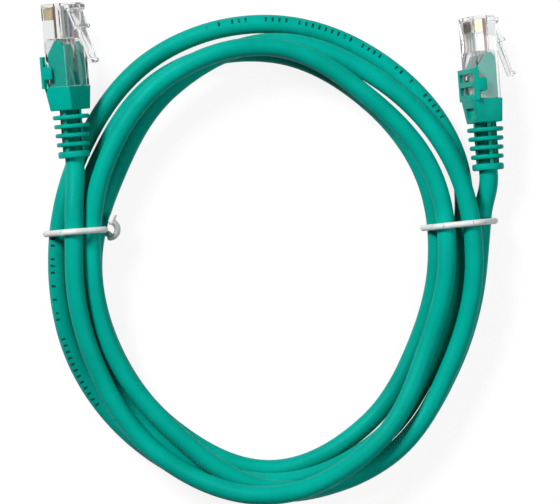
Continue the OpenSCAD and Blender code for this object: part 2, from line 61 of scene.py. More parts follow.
# cable, in millimetres and degrees: twelve clock points a turn, from the left, down, right and over the top
# a lane counts strand pitches out from the bundle's middle, a lift counts pitches up, a straight diameters
cable = {
    "diameter": 5.1, "length": 1680, "strandGap": 0.45, "coilRadius": 54, "centre": (-2.2, -2.7),
    "turned": 1620, "clockStep": 30, "aimStep": 0.5, "step": 2, "spacing": 1.9, "sides": 28, "smooth": 50,
    "leadStraight": 1.5, "leadSteps": 14, "tailStraight": 0.3, "restShare": 0.4,
    "laneBefore": 0.2, "laneAfter": 1.3,
    "lanes": [
        [-0.12, 0.2, 1.15, 1.55, 0.45, -1.06, -1.2, -0.77, -0.4, 0.72, 0.55, -0.35],
        [-0.96, -0.8, -0.2, 1.3, 1.37, 0.34, 0.13, 0.35, 0.61, 1, 0.08, -0.97],
        [-0.97, -0.8, -0.2, 0.45, -0.5, -1.55, -1.65, -1.15, -0.5, 0.5, 0.8, 0.06],
        [-0.1, 0.12, 0.55, 1.04, 0.45, -0.52, -0.61, 0.7, 1.4, 1.94, 1.86, 1.08],
        [0.78, 1.04, 1.3, 1.64, 1.4, 0.47, 0.39]],
    "liftBefore": 1.9, "liftAfter": 0.46,
    "lifts": [
        [2.05, 1.6, 1.85, 2.88, 1.95, 1.2, 1.56, 1.4, 1.4, 2, 2.05, 1.8],
        [1.5, 1.2, 1.57, 1.9, 1.15, 1.15, 1.58, 1.52, 1, 1, 1.05, 0.6],
        [0.46, 0.1, 0, 0, 0, 0.05, 0.46, 0.42, 0, 0, 0.02, 0.64],
        [0.95, 0.55, 0.7, 0.84, 0.52, 0.3, 0.6, 0.42, 0, 0, 0, 0.42],
        [0.46, 0.1, 0, 0, 0, 0.05, 0.46]],
}
cable["pitch"] = cable["diameter"] + cable["strandGap"]
cable["restZ"] = cable["diameter"] * cable["restShare"]
laneList = [cable["laneBefore"]] + sum(cable["lanes"], []) + [cable["laneAfter"]]
liftList = [cable["liftBefore"]] + sum(cable["lifts"], []) + [cable["liftAfter"]]

# plug, latch and boot, in millimetres in the plug's own frame: x across, y to the nose, z to the latch
# an edge is the width and the steps of a rounding, smooth the angle in degrees that is shaded smooth
plug = {
    "w": 11.68, "h": 6.5, "l": 22.4, "edge": (0.5, 5), "endEdge": (0.22, 3), "hollowW": 9.6, "hollowL": 13.0,
    "hollowEdge": (0.25, 3), "noseWall": 0.8, "jacketIn": 7.4, "ways": 8, "wayPitch": 1.02, "bladeT": 0.36,
    "bladeL": 3.3, "bladeInset": 1.1, "wireD": 0.92, "ringShare": 0.3, "rowZ": 0.3, "rowIn": 0.5,
    "clear": 0.05, "jacketClear": 0.06, "barW": 6.4, "barL": 2.4, "barAt": 4.0, "barClear": 0.1,
    "smooth": 28,
}
latch = {
    "l": 14.6, "w": 6.0, "tipW": 3.2, "t": 1.0, "angle": 18.0, "shoulderAt": 5.4, "shoulderH": 0.7,
    "tabIn": 0.3, "ridge": 1.5, "ridgeSides": 28, "bead": 1.3, "beadSides": 36, "beadClear": 0.08,
    "rodShort": 0.02,
    "rootT": 1.0, "rootBack": 0.5, "rootW": 8.0, "rootH": 1.6, "rootIn": 0.6, "rootEdge": (0.3, 4),
    "edge": (0.18, 3), "rodEdge": (0.12, 2), "smooth": 30,
}
boot = {
    "w": 11.4, "top": 3.7, "l": 6.4, "taper": 0.8, "topTaper": 0.2, "longEdge": (0.7, 5),
    "backEdge": (0.3, 3), "frontEdge": (0.16, 2), "ribs": 5, "ribPitch": 2.46, "ribT": 1.2, "ribD": 9.9,
    "ribSoft": 0.46, "flangeD": 8.6, "flangeT": 1.8, "sleeveD": 6.4, "tailIn": 1.0, "tailSides": 56,
    "windowW": 3.7, "windowInset": 0.03, "frameL": 8.4, "frameT": 1.0, "frameBar": 1.4,
    "frameEdge": (0.3, 3),
    "frameWindowEdge": (0.35, 4), "lipH": 2.4, "lipT": 0.8, "lipIn": 0.4, "lipEdge": (0.28, 3),
    "cheekL": 12.5, "cheekShortL": 8.6, "cheekTipW": 1.5, "cheekIn": 0.5, "cheekEdge": (0.25, 3),
    "wireGap": 0.2, "wireGapZ": 0.1, "recessL": 3.0, "recessW": 6.0, "recessRim": 1.1, "recessFloor": 0.5,
    "recessEdge": (0.4, 4), "slitW": 2.6, "slitIn": 0.3, "boreSides": 48, "clear": 0.06, "seat": 0.2,
    "smooth": 32,
}
boot["ribGap"] = boot["ribPitch"] - boot["ribT"]
boot["tailL"] = boot["ribs"] * boot["ribPitch"] - boot["ribT"] + boot["flangeT"]
boot["back"] = boot["l"] + boot["tailL"]
boot["frameZ"] = -plug["h"] / 2 - boot["clear"]
boot["boreD"] = cable["diameter"] + 2 * plug["jacketClear"]
latch["y"] = plug["l"] - latch["rootBack"] - latch["rootT"] - latch["bead"] / 2
latch["grooveR"] = latch["bead"] / 2 + latch["beadClear"]
latch["z"] = plug["h"] / 2 + latch["grooveR"]
plug["hollowH"] = cable["diameter"] + 2 * (plug["jacketClear"] + boot["clear"])
plug["bladeBack"] = plug["l"] - plug["bladeInset"] - plug["bladeL"]
plug["wireEnd"] = plug["l"] - plug["noseWall"] - plug["clear"]
plug["ringR"] = cable["diameter"] * plug["ringShare"]


# a smooth curve through values or points, at a share t of the way from number i to the next
def smoothBetween(values, i, t):
    last = len(values) - 1
    a, b = values[max(i - 1, 0)], values[i]
    c, d = values[i + 1], values[min(i + 2, last)]
    return b + t * (c - a + t * (2 * a - 5 * b + 4 * c - d + t * (3 * (b - c) + d - a))) / 2


def smoothValue(values, at):
    i = min(max(floor(at), 0), len(values) - 2)
    return smoothBetween(values, i, at - i)


def strand(turned):
    at = turned / cable["clockStep"] + 1
    r = cable["coilRadius"] + cable["pitch"] * smoothValue(laneList, at)
    z = cable["restZ"] + cable["pitch"] * smoothValue(liftList, at)
    x, y = cable["centre"]
    return Vector((x - r * cos(radians(turned)), y - r * sin(radians(turned)), z))


def heading(turned):
    return (strand(turned + cable["aimStep"]) - strand(turned - cable["aimStep"])).normalized()


# each plug's pitch, roll and yaw in degrees, and where its boot ends beside the coil: how far it is shifted
# from the coil's radius, its share of that radius up from the middle, and its gap to what lies below it
ends = {"left": {"turn": (2, 60, 4.7), "sign": -1, "shift": 0.7, "share": 0.522, "over": 1412, "gap": 0.3},
        "right": {"turn": (0, 108, 4.4), "sign": 1, "shift": 4.7, "share": 0.461, "gap": 0.2}}
rightRoll = radians(ends["right"]["turn"][1])
tailRests = {
    "left": strand(ends["left"]["over"]).z + cable["diameter"] / 2 + boot["flangeD"] / 2,
    "right": boot["top"] * abs(cos(rightRoll)) + plug["w"] / 2 * sin(rightRoll)}
for side, end in ends.items():
    end["tail"] = Vector((cable["centre"][0] + end["sign"] * cable["coilRadius"] + end["shift"],
                          cable["centre"][1] + end["share"] * cable["coilRadius"],
                          tailRests[side] + end["gap"]))
    pitchAngle, rollAngle, yawAngle = (radians(a) for a in end["turn"])
    turn = (Matrix.Rotation(yawAngle, 4, "Z") @ Matrix.Rotation(pitchAngle, 4, "X")
            @ Matrix.Rotation(rollAngle, 4, "Y"))
    end["axis"] = (turn @ Vector((0, 1, 0))).normalized()
    end["place"] = (Matrix.Translation(end["tail"] * mm) @ turn
                    @ Matrix.Translation((0, boot["back"] * mm, 0)))


def leadPoints(start, way, end):
    a = start + cable["leadStraight"] * cable["diameter"] * way
    b = end["tail"] - cable["tailStraight"] * cable["diameter"] * end["axis"]
    reach = (b - a).length / 3
    points = [start]
    for k in range(cable["leadSteps"] + 1):
        t = k / cable["leadSteps"]
        u = 1 - t
        points.append(u ** 3 * a + 3 * u * u * t * (a + way * reach)
                      + 3 * u * t * t * (b - end["axis"] * reach) + t ** 3 * b)
    return points + [end["tail"] + end["axis"] * (boot["back"] + plug["jacketIn"])]


def evenPoints(points, spacing):
    total = sum((b - a).length for a, b in zip(points, points[1:]))
    count = round(total / spacing)
    even, left, goal = [points[0].copy()], 0.0, total / count
    for a, b in zip(points, points[1:]):
        run = (b - a).length
        while left + run >= goal and len(even) < count:
            even.append(a + (b - a) * ((goal - left) / run))
            goal += total / count
        left += run
    return even + [points[-1].copy()]


def cableRoute():
    first, last = heading(0), heading(cable["turned"])
    startAt = strand(0) - cable["diameter"] * first
    endAt = strand(cable["turned"]) + cable["diameter"] * last
    coil = [strand(a) for a in range(0, cable["turned"] + 1, cable["step"])]
    leftRun = leadPoints(startAt, -first, ends["left"])
    return evenPoints(leftRun[::-1] + coil + leadPoints(endAt, last, ends["right"]), cable["spacing"])


def deselect():
    bpy.ops.object.select_all(action="DESELECT")


def makeActive(obj):
    deselect()
    obj.select_set(True)
    bpy.context.view_layer.objects.active = obj


weld = 1e-6  # metres within which points are one


# round tube along points in millimetres: its U runs along it, its V runs round it
def tubeAlong(name, points, diameter, sides):
    curve = bpy.data.curves.new(name, "CURVE")
    curve.dimensions = "3D"
    curve.bevel_depth = diameter / 2 * mm
    curve.bevel_resolution = (sides - 4) // 2
    curve.use_fill_caps = True
    curve.twist_mode = "MINIMUM"
    spline = curve.splines.new("POLY")
    spline.points.add(len(points) - 1)
    for p, q in zip(spline.points, points):
        p.co = (q[0] * mm, q[1] * mm, q[2] * mm, 1)
    obj = bpy.data.objects.new(name, curve)
    scene.collection.objects.link(obj)
    makeActive(obj)
    bpy.ops.object.convert(target="MESH")
    obj = bpy.context.view_layer.objects.active
    obj.name = name
    bpy.ops.object.mode_set(mode="EDIT")
    bpy.ops.mesh.select_all(action="SELECT")
    bpy.ops.mesh.remove_doubles(threshold=weld)
    bpy.ops.object.mode_set(mode="OBJECT")
    bpy.ops.object.shade_smooth_by_angle(angle=radians(cable["smooth"]))
    return obj


route = cableRoute()
cableObj = tubeAlong("cable_jacket", route, cable["diameter"], cable["sides"])
routeLength = sum((b - a).length for a, b in zip(route, route[1:])) * mm
print("cable laid,", round(routeLength, 4), "m along", len(route), "points")


# shader helpers; in the settings a noise is its scale, detail and roughness, a bump its height and strength
noiseRange = (0.3, 0.7)  # most of a noise lies between these
plasticIor = 1.48
greenSet = {"stops": (0.3, 0.5, 0.72), "tint": (0.3, 1.0, 0.92)}


def newMaterial(name):
    mat = bpy.data.materials.new(name)
    mat.use_nodes = True
    return mat, mat.node_tree, mat.node_tree.nodes["Principled BSDF"]


def addNode(tree, kind, **values):
    node = tree.nodes.new(kind)
    for key, value in values.items():
        if key in node.inputs:
            node.inputs[key].default_value = value
        else:
            setattr(node, key, value)
    return node


def objectPlace(tree, scale=None):
    place = tree.nodes.new("ShaderNodeTexCoord").outputs["Object"]
    if scale is None:
        return place
    stretch = addNode(tree, "ShaderNodeMapping", Scale=scale)
    tree.links.new(place, stretch.inputs["Vector"])
    return stretch.outputs["Vector"]


def noiseOn(tree, source, scale, detail=3.0, rough=0.55):
    noise = addNode(tree, "ShaderNodeTexNoise", Scale=scale, Detail=detail, Roughness=rough)
    tree.links.new(source, noise.inputs["Vector"])
    return noise.outputs["Fac"]


def rampOn(tree, fac, stops):
    ramp = tree.nodes.new("ShaderNodeValToRGB")
    marks = ramp.color_ramp.elements
    while len(marks) < len(stops):
        marks.new(0.5)
    for mark, (at, colour) in zip(marks, stops):
        mark.position = at
        mark.color = (*colour, 1)
    tree.links.new(fac, ramp.inputs["Fac"])
    return ramp.outputs["Color"]


def spanOn(tree, fac, low, high, fromLow=0.0, fromHigh=1.0):
    span = addNode(tree, "ShaderNodeMapRange")
    for key, value in (("From Min", fromLow), ("From Max", fromHigh), ("To Min", low), ("To Max", high)):
        span.inputs[key].default_value = value
    tree.links.new(fac, span.inputs["Value"])
    return span.outputs["Result"]


def mathOn(tree, operation, a, b=None):
    node = addNode(tree, "ShaderNodeMath", operation=operation)
    for socket, value in zip(node.inputs, (a, b)):
        if isinstance(value, (int, float)):
            socket.default_value = value
        elif value is not None:
            tree.links.new(value, socket)
    return node.outputs["Value"]


def mixOn(tree, fac, a, b):
    mix = addNode(tree, "ShaderNodeMix", data_type="RGBA")
    tree.links.new(fac, mix.inputs["Factor"])
    for socket, value in ((mix.inputs[6], a), (mix.inputs[7], b)):
        if isinstance(value, tuple):
            socket.default_value = (*value, 1)
        else:
            tree.links.new(value, socket)
    return mix.outputs[2]


def bumpOn(tree, height, distance, strength=1.0, after=None):
    bump = addNode(tree, "ShaderNodeBump", Strength=strength, Distance=distance)
    tree.links.new(height, bump.inputs["Height"])
    if after is not None:
        tree.links.new(after, bump.inputs["Normal"])
    return bump.outputs["Normal"]


# roughness that wanders between two values with a noise
def roughOn(tree, shader, fac, span):
    tree.links.new(spanOn(tree, fac, *span, *noiseRange), shader.inputs["Roughness"])


# the green plastic of the jacket and the boots: three tones with a noise, and a faint green shine
def greenOn(tree, place, look):
    tones = [look["dark"], look["mid"], look["light"]]
    return rampOn(tree, noiseOn(tree, place, *look["tone"]), list(zip(greenSet["stops"], tones)))


def shineOn(shader, look):
    shader.inputs["IOR"].default_value = plasticIor
    shader.inputs["Specular IOR Level"].default_value = look["shine"]
    shader.inputs["Specular Tint"].default_value = (*greenSet["tint"], 1)


def uvParts(tree):
    split = tree.nodes.new("ShaderNodeSeparateXYZ")
    tree.links.new(tree.nodes.new("ShaderNodeTexCoord").outputs["UV"], split.inputs["Vector"])
    return split.outputs["X"], split.outputs["Y"]


# jacket: satin plastic, the lay of the pairs faintly raised along it, plain dashes on part of its outer
# side, and painted shade where it runs inside the boots
jacketSet = {"dark": (0.0, 0.335, 0.262), "mid": (0.0, 0.388, 0.307), "light": (0.0, 0.445, 0.355),
             "paintedBootShade": (0.0, 0.15, 0.115), "tone": (55, 4, 0.6), "sheen": (260, 4, 0.6),
             "rough": (0.4, 0.54), "shine": 0.12, "layLength": 0.021, "layStarts": 2,
             "layBump": (0.00005, 0.7),
             "grain": (2600, 3, 0.6), "grainBump": (0.00003, 0.5), "ink": (0.003, 0.07, 0.058),
             "wear": (1500, 2, 0.5), "wornBelow": 0.36, "dashPitch": 0.0018, "dashShare": 0.34,
             "dashSide": 0.5, "dashHalf": 0.27, "dashLost": 0.26, "dashRuns": [(1301, 1366), (1432, 1482)]}


# angle of each point round the cable, from straight up towards the outside of the coil
def markFromTop(obj):
    near = KDTree(len(route))
    for i, p in enumerate(route):
        near.insert(p * mm, i)
    near.balance()
    centre = Vector((*cable["centre"], 0))
    angles = []
    for v in obj.data.vertices:
        spot, i = near.find(v.co)[:2]
        out = route[i] - centre
        out.z = 0
        away = v.co - spot
        angles.append(atan2(away.dot(out.normalized()), away.z))
    layer = obj.data.attributes.new("fromTop", "FLOAT", "POINT")
    layer.data.foreach_set("value", angles)


def shareAt(turned):
    goal = strand(turned)
    return min(range(len(route)), key=lambda i: (route[i] - goal).length) / (len(route) - 1)


def makeJacketMaterial():
    mat, tree, shader = newMaterial("jacketPlastic")
    place = objectPlace(tree)
    base = greenOn(tree, place, jacketSet)
    u, v = uvParts(tree)
    run = mathOn(tree, "MULTIPLY", u, routeLength)
    cell = mathOn(tree, "DIVIDE", run, jacketSet["dashPitch"])
    dash = mathOn(tree, "LESS_THAN", mathOn(tree, "FRACT", cell), jacketSet["dashShare"])
    pick = addNode(tree, "ShaderNodeTexWhiteNoise", noise_dimensions="1D")
    tree.links.new(mathOn(tree, "FLOOR", cell), pick.inputs["W"])
    kept = mathOn(tree, "GREATER_THAN", pick.outputs["Value"], jacketSet["dashLost"])
    dash = mathOn(tree, "MULTIPLY", dash, kept)
    fromTop = addNode(tree, "ShaderNodeAttribute", attribute_name="fromTop").outputs["Fac"]
    off = mathOn(tree, "ABSOLUTE", mathOn(tree, "SUBTRACT", fromTop, jacketSet["dashSide"]))
    band = mathOn(tree, "LESS_THAN", off, jacketSet["dashHalf"])
    printed = None
    for first, last in jacketSet["dashRuns"]:
        inside = mathOn(tree, "MULTIPLY", mathOn(tree, "GREATER_THAN", u, shareAt(first)),
                        mathOn(tree, "LESS_THAN", u, shareAt(last)))
        printed = inside if printed is None else mathOn(tree, "ADD", printed, inside)
    whole = mathOn(tree, "GREATER_THAN", noiseOn(tree, place, *jacketSet["wear"]), jacketSet["wornBelow"])
    ink = mathOn(tree, "MULTIPLY", dash, printed)
    ink = mathOn(tree, "MULTIPLY", ink, mathOn(tree, "MULTIPLY", band, whole))
    # painted shade: the jacket's colour turns much darker where it runs inside the boots, standing in for
    # the shadow there
    inBoot = (boot["back"] + plug["jacketIn"]) * mm / routeLength
    fromMiddle = mathOn(tree, "ABSOLUTE", mathOn(tree, "SUBTRACT", u, 0.5))
    base = mixOn(tree, mathOn(tree, "GREATER_THAN", fromMiddle, 0.5 - inBoot), base, jacketSet["paintedBootShade"])
    tree.links.new(mixOn(tree, ink, base, jacketSet["ink"]), shader.inputs["Base Color"])
    roughOn(tree, shader, noiseOn(tree, place, *jacketSet["sheen"]), jacketSet["rough"])
    along = mathOn(tree, "MULTIPLY", run, 2 * pi / jacketSet["layLength"])
    around = mathOn(tree, "MULTIPLY", v, 2 * pi * jacketSet["layStarts"])
    lay = mathOn(tree, "SINE", mathOn(tree, "ADD", along, around))
    layNormal = bumpOn(tree, lay, *jacketSet["layBump"])
    grain = noiseOn(tree, place, *jacketSet["grain"])
    tree.links.new(bumpOn(tree, grain, *jacketSet["grainBump"], layNormal), shader.inputs["Normal"])
    shineOn(shader, jacketSet)
    return mat


markFromTop(cableObj)
jacketPlastic = makeJacketMaterial()
cableObj.data.materials.append(jacketPlastic)

# light and background
stageSet = {"floorZ": -0.0008, "floorSize": 6.0, "floorShade": 0.16, "floorGlow": 0.88, "floorShine": 0.9,
            "worldLight": 0.06, "worldShine": 0.14,
            "keyPower": 14.0, "keySize": 0.36, "keyAt": (-0.62, 0.62, 0.85),
            "fillPower": 5.8, "fillSize": 0.7, "fillAt": (0.76, 0.0, 1.05)}


# 1 for what the camera sees and what shows through clear plastic, shine for what gloss mirrors, 0 as light
def seenDirectly(tree, shine):
    path = tree.nodes.new("ShaderNodeLightPath")
    seen = mathOn(tree, "MAXIMUM", path.outputs["Is Camera Ray"], path.outputs["Is Transmission Ray"])
    seen = mathOn(tree, "MAXIMUM", seen, path.outputs["Is Glossy Ray"])
    seen = mathOn(tree, "MULTIPLY", seen, spanOn(tree, path.outputs["Glossy Depth"], 1.0, shine))
    return mathOn(tree, "MULTIPLY", seen, mathOn(tree, "LESS_THAN", path.outputs["Diffuse Depth"], 1))


def makeWorld():
    world = bpy.data.worlds.new("studio")
    scene.world = world
    world.use_nodes = True
    tree = world.node_tree
    back = tree.nodes["Background"]
    back.inputs["Color"].default_value = (1, 1, 1, 1)
    seen = seenDirectly(tree, stageSet["worldShine"])
    tree.links.new(spanOn(tree, seen, stageSet["worldLight"], 1.0), back.inputs["Strength"])


def makeFloor():
    deselect()
    bpy.ops.mesh.primitive_plane_add(size=stageSet["floorSize"], location=(0, 0, stageSet["floorZ"]))
    floorObj = bpy.context.object
    floorObj.name = "floor"
    mat, tree, shader = newMaterial("paleFloor")
    out = tree.nodes["Material Output"]
    tree.nodes.remove(shader)
    shade = stageSet["floorShade"]
    plain = addNode(tree, "ShaderNodeBsdfDiffuse", Color=(shade, shade, shade, 1))
    glow = addNode(tree, "ShaderNodeEmission", Color=(1, 1, 1, 1))
    seen = seenDirectly(tree, stageSet["floorShine"])
    tree.links.new(spanOn(tree, seen, 0.0, stageSet["floorGlow"]), glow.inputs["Strength"])
    both = tree.nodes.new("ShaderNodeAddShader")
    tree.links.new(plain.outputs[0], both.inputs[0])
    tree.links.new(glow.outputs[0], both.inputs[1])
    tree.links.new(both.outputs[0], out.inputs["Surface"])
    floorObj.data.materials.append(mat)


def makeLamp(name, place, power, size):
    data = bpy.data.lights.new(name, "AREA")
    data.energy = power
    data.size = size
    lamp = bpy.data.objects.new(name, data)
    lamp.location = place
    lamp.rotation_euler = (-Vector(place)).to_track_quat("-Z", "Y").to_euler()
    scene.collection.objects.link(lamp)


makeWorld()
makeFloor()
makeLamp("keyLamp", stageSet["keyAt"], stageSet["keyPower"], stageSet["keySize"])
makeLamp("fillLamp", stageSet["fillAt"], stageSet["fillPower"], stageSet["fillSize"])
scene.view_settings.view_transform = "Standard"
print("stage ready")


# modelling helpers, sizes in millimetres
touch = 0.01  # how near an edge lies to the face it is on
past = 1.0  # how far a cutter goes past a face


def runsAlong(way, axis):
    return abs(way["xyz".index(axis)]) > 0.9


def runsAcross(way, axis):
    return abs(way["xyz".index(axis)]) < 0.1


def addBlock(name, low, high):
    deselect()
    bpy.ops.mesh.primitive_cube_add(size=mm, location=[(a + b) / 2 * mm for a, b in zip(low, high)])
    obj = bpy.context.object
    obj.name = name
    obj.scale = [b - a for a, b in zip(low, high)]
    bpy.ops.object.transform_apply(location=True, rotation=False, scale=True)
    return obj


def startEdit(obj, kind):
    makeActive(obj)
    bpy.ops.object.mode_set(mode="EDIT")
    bpy.ops.mesh.select_mode(type=kind)
    bpy.ops.mesh.select_all(action="DESELECT")
    return bmesh.from_edit_mesh(obj.data)


def endEdit():
    bpy.ops.object.mode_set(mode="OBJECT")


def bevelWhere(obj, edge, test):
    width, segments = edge
    shape = startEdit(obj, "EDGE")
    for e in shape.edges:
        a, b = e.verts[0].co, e.verts[1].co
        if test((a + b) / 2 / mm, (b - a).normalized()):
            e.select_set(True)
    bmesh.update_edit_mesh(obj.data)
    bpy.ops.mesh.bevel(offset=width * mm, segments=segments, affect="EDGES", clamp_overlap=True)
    endEdit()


def pickVerts(obj, test):
    shape = startEdit(obj, "VERT")
    for v in shape.verts:
        if test(v.co / mm):
            v.select_set(True)
    shape.select_flush_mode()
    bmesh.update_edit_mesh(obj.data)


# cut a corner off with a plane through two (y, z) points, keeping the side away from outZ
def sliceOff(obj, first, second, outZ):
    startEdit(obj, "FACE")
    bpy.ops.mesh.select_all(action="SELECT")
    run, rise = first[0] - second[0], first[1] - second[1]
    away = Vector((0, abs(rise), outZ * abs(run))).normalized()
    bpy.ops.mesh.bisect(plane_co=(0, first[0] * mm, first[1] * mm), plane_no=away, use_fill=True,
                        clear_outer=True)
    endEdit()


def joinAll(pieces):
    deselect()
    for piece in pieces:
        piece.select_set(True)
    bpy.context.view_layer.objects.active = pieces[0]
    bpy.ops.object.join()
    return pieces[0]


def combine(obj, other, operation="DIFFERENCE"):
    makeActive(obj)
    mod = obj.modifiers.new("shape", "BOOLEAN")
    mod.operation = operation
    mod.solver = "EXACT"
    mod.object = other
    bpy.ops.object.modifier_apply(modifier=mod.name)
    bpy.data.objects.remove(other, do_unlink=True)


def addRod(name, diameter, length, middle, axis, sides=40):
    deselect()
    turn = {"x": (0, pi / 2, 0), "y": (pi / 2, 0, 0), "z": (0, 0, 0)}[axis]
    bpy.ops.mesh.primitive_cylinder_add(vertices=sides, radius=diameter / 2 * mm, depth=length * mm,
                                        location=[m * mm for m in middle], rotation=turn)
    obj = bpy.context.object
    obj.name = name
    bpy.ops.object.transform_apply(location=True, rotation=True, scale=True)
    return obj


def smoothEdges(obj, angle):
    makeActive(obj)
    bpy.ops.object.mode_set(mode="EDIT")
    bpy.ops.mesh.select_all(action="SELECT")
    bpy.ops.mesh.remove_doubles(threshold=weld)
    bpy.ops.mesh.normals_make_consistent(inside=False)
    endEdit()
    bpy.ops.object.shade_smooth_by_angle(angle=radians(angle))


def copyTo(obj, name, place):
    new = obj.copy()
    new.data = obj.data.copy()
    new.name = name
    scene.collection.objects.link(new)
    makeActive(new)
    new.matrix_world = place
    bpy.ops.object.transform_apply(location=True, rotation=True, scale=True)
    return new


def dropMaster(obj):
    bpy.data.objects.remove(obj, do_unlink=True)


# boot: tapered box, ribbed tail, frame and lips on the contact face, cheeks inside the plug
def bootBox():
    low = boot["frameZ"] - boot["frameT"]
    half = boot["w"] / 2
    box = addBlock("bootMaster", (-half, -boot["l"], low), (half, -boot["clear"], boot["top"]))
    h = boot["top"] - low
    backH = h - boot["taper"] - boot["topTaper"]
    backMid = (low + boot["taper"] + backH / 2) * mm
    pickVerts(box, lambda p: p.y < -boot["l"] + touch)
    middle = (low + h / 2) * mm
    bpy.ops.transform.resize(value=(1 - 2 * boot["taper"] / boot["w"], 1, backH / h),
                             center_override=(0, -boot["l"] * mm, middle))
    bpy.ops.transform.translate(value=(0, 0, backMid - middle))
    endEdit()
    bevelWhere(box, boot["longEdge"], lambda m, way: runsAlong(way, "y"))
    bevelWhere(box, boot["backEdge"], lambda m, way: runsAcross(way, "y") and m.y < -boot["l"] + touch)
    bevelWhere(box, boot["frontEdge"], lambda m, way: runsAcross(way, "y") and m.y > -boot["clear"] - touch)
    return box


# (y, radius) points down the tail, with each rib's rim rounded
def ribProfile():
    sleeve, soft = boot["sleeveD"] / 2, boot["ribSoft"]
    rim = [(0, 1), (0.1, 0.6), (0.4, 0.15), (1, 0)]
    points = []
    for i in range(boot["ribs"]):
        top = -boot["l"] - boot["ribGap"] - i * boot["ribPitch"]
        r = (boot["ribD"] + (boot["flangeD"] - boot["ribD"]) * i / (boot["ribs"] - 1)) / 2
        t = boot["flangeT"] if i == boot["ribs"] - 1 else boot["ribT"]
        points.append((top, sleeve))
        points += [(top - back * soft, r - down * soft) for back, down in rim]
        points += [(top - t + back * soft, r - down * soft) for back, down in reversed(rim)]
        if i < boot["ribs"] - 1:
            points.append((top - t, sleeve))
    return points


def bootTail():
    y, r = -boot["l"] + boot["tailIn"], boot["sleeveD"] / 2
    deselect()
    bpy.ops.mesh.primitive_circle_add(vertices=boot["tailSides"], radius=r * mm, fill_type="NGON",
                                      location=(0, y * mm, 0), rotation=(pi / 2, 0, 0))
    tail = bpy.context.object
    bpy.ops.object.transform_apply(location=True, rotation=True, scale=True)
    startEdit(tail, "FACE")
    bpy.ops.mesh.select_all(action="SELECT")
    for nextY, nextR in ribProfile():
        bpy.ops.mesh.extrude_region_move(TRANSFORM_OT_translate={"value": (0, (nextY - y) * mm, 0)})
        if nextR != r:
            bpy.ops.transform.resize(value=(nextR / r, 1, nextR / r), center_override=(0, nextY * mm, 0))
        y, r = nextY, nextR
    bpy.ops.mesh.select_all(action="SELECT")
    bpy.ops.mesh.normals_make_consistent(inside=False)
    endEdit()
    return tail


def bootFrame():
    w = plug["w"] + 2 * (boot["clear"] + boot["lipT"])
    low, high = boot["frameZ"] - boot["frameT"], boot["frameZ"]
    bar, nose = boot["frameBar"], boot["frameL"]
    windowL = (nose - 3 * bar + boot["clear"]) / 2
    plate = addBlock("bootFrame", (-w / 2, -boot["clear"] - boot["seat"], low), (w / 2, nose, high))
    bevelWhere(plate, boot["frameEdge"], lambda m, way: m.z < low + touch and m.y > 0)
    bevelWhere(plate, boot["frameEdge"], lambda m, way: runsAlong(way, "z") and m.y > nose - bar / 2)
    for y in (nose - bar - windowL, nose - 2 * bar - 2 * windowL):
        window = addBlock("window", (-w / 2 + bar, y, low - past), (w / 2 - bar, y + windowL, high + past))
        bevelWhere(window, boot["frameWindowEdge"], lambda m, way: runsAlong(way, "z"))
        combine(plate, window)
    inner, outer, top = plug["w"] / 2 + boot["clear"], w / 2, high + boot["lipH"]
    for sign in (-1, 1):
        across = sorted((sign * inner, sign * outer))
        lip = addBlock("lip", (across[0], nose - 3 * bar - windowL, high - boot["lipIn"]),
                       (across[1], nose - 2 * bar, top))
        bevelWhere(lip, boot["lipEdge"], lambda m, way: m.z > top - touch or (
            runsAlong(way, "z") and abs(m.x) > outer - touch))
        combine(plate, lip, "UNION")
    return plate


def bootCheeks():
    h = plug["hollowH"] / 2 - boot["clear"]
    w = plug["hollowW"] / 2 - boot["clear"]
    cheeks = addBlock("cheeks", (-w, -boot["clear"] - boot["cheekIn"], -h), (w, boot["cheekL"], h))
    middleL = (boot["cheekShortL"] + boot["cheekL"]) / 2
    bevelWhere(cheeks, boot["cheekEdge"], lambda m, way: runsAlong(way, "y"))
    sliceOff(cheeks, (boot["cheekL"], 0), (boot["cheekShortL"], -h), -1)
    sliceOff(cheeks, (boot["cheekL"], boot["cheekTipW"]), (middleL, h), 1)
    gap, front = boot["wireGap"], plug["hollowL"] + past
    barCut = addBlock("barCut", (-plug["barW"] / 2 - gap, plug["barAt"] - gap, -h - past),
                      (plug["barW"] / 2 + gap, front, 0))
    combine(cheeks, barCut)
    wayW = plug["ways"] * plug["wayPitch"] / 2 + gap
    wayH = plug["ringR"] + plug["wireD"] / 2 + boot["wireGapZ"]
    spread = (plug["jacketIn"] + plug["hollowL"]) / 2
    throat = addBlock("throat", (-wayW, plug["jacketIn"], -wayH), (wayW, spread, wayH))
    pickVerts(throat, lambda p: p.y < plug["jacketIn"] + touch)
    bpy.ops.transform.resize(value=(boot["boreD"] / 2 / wayW, 1, 1),
                             center_override=(0, plug["jacketIn"] * mm, 0))
    endEdit()
    shape = startEdit(throat, "FACE")
    for f in shape.faces:
        if f.normal.y > 0 and runsAlong(f.normal, "y"):
            f.select_set(True)
    bmesh.update_edit_mesh(throat.data)
    bpy.ops.mesh.extrude_region_move(TRANSFORM_OT_translate={"value": (0, (front - spread) * mm, 0)})
    endEdit()
    combine(cheeks, throat)
    combine(cheeks, addBlock("slit", (-boot["slitW"] / 2, -boot["clear"] - boot["slitIn"], -h - past),
                             (boot["slitW"] / 2, front, h + past)))
    return cheeks


# windows between the ribs face the box's corners, so the webs left over lie on its sides
def ribWindows(angle):
    bars = []
    half, reach, inset = boot["windowW"] / 2, boot["ribD"] / 2, boot["windowInset"]
    for i in range(boot["ribs"]):
        y = -boot["l"] - boot["ribGap"] - i * boot["ribPitch"]
        bars.append(addBlock("ribWindow", (-reach, y + inset, -half),
                             (reach, y + boot["ribGap"] - inset, half)))
    windows = joinAll(bars)
    windows.rotation_euler = (0, radians(angle), 0)
    makeActive(windows)
    bpy.ops.object.transform_apply(location=False, rotation=True, scale=False)
    return windows


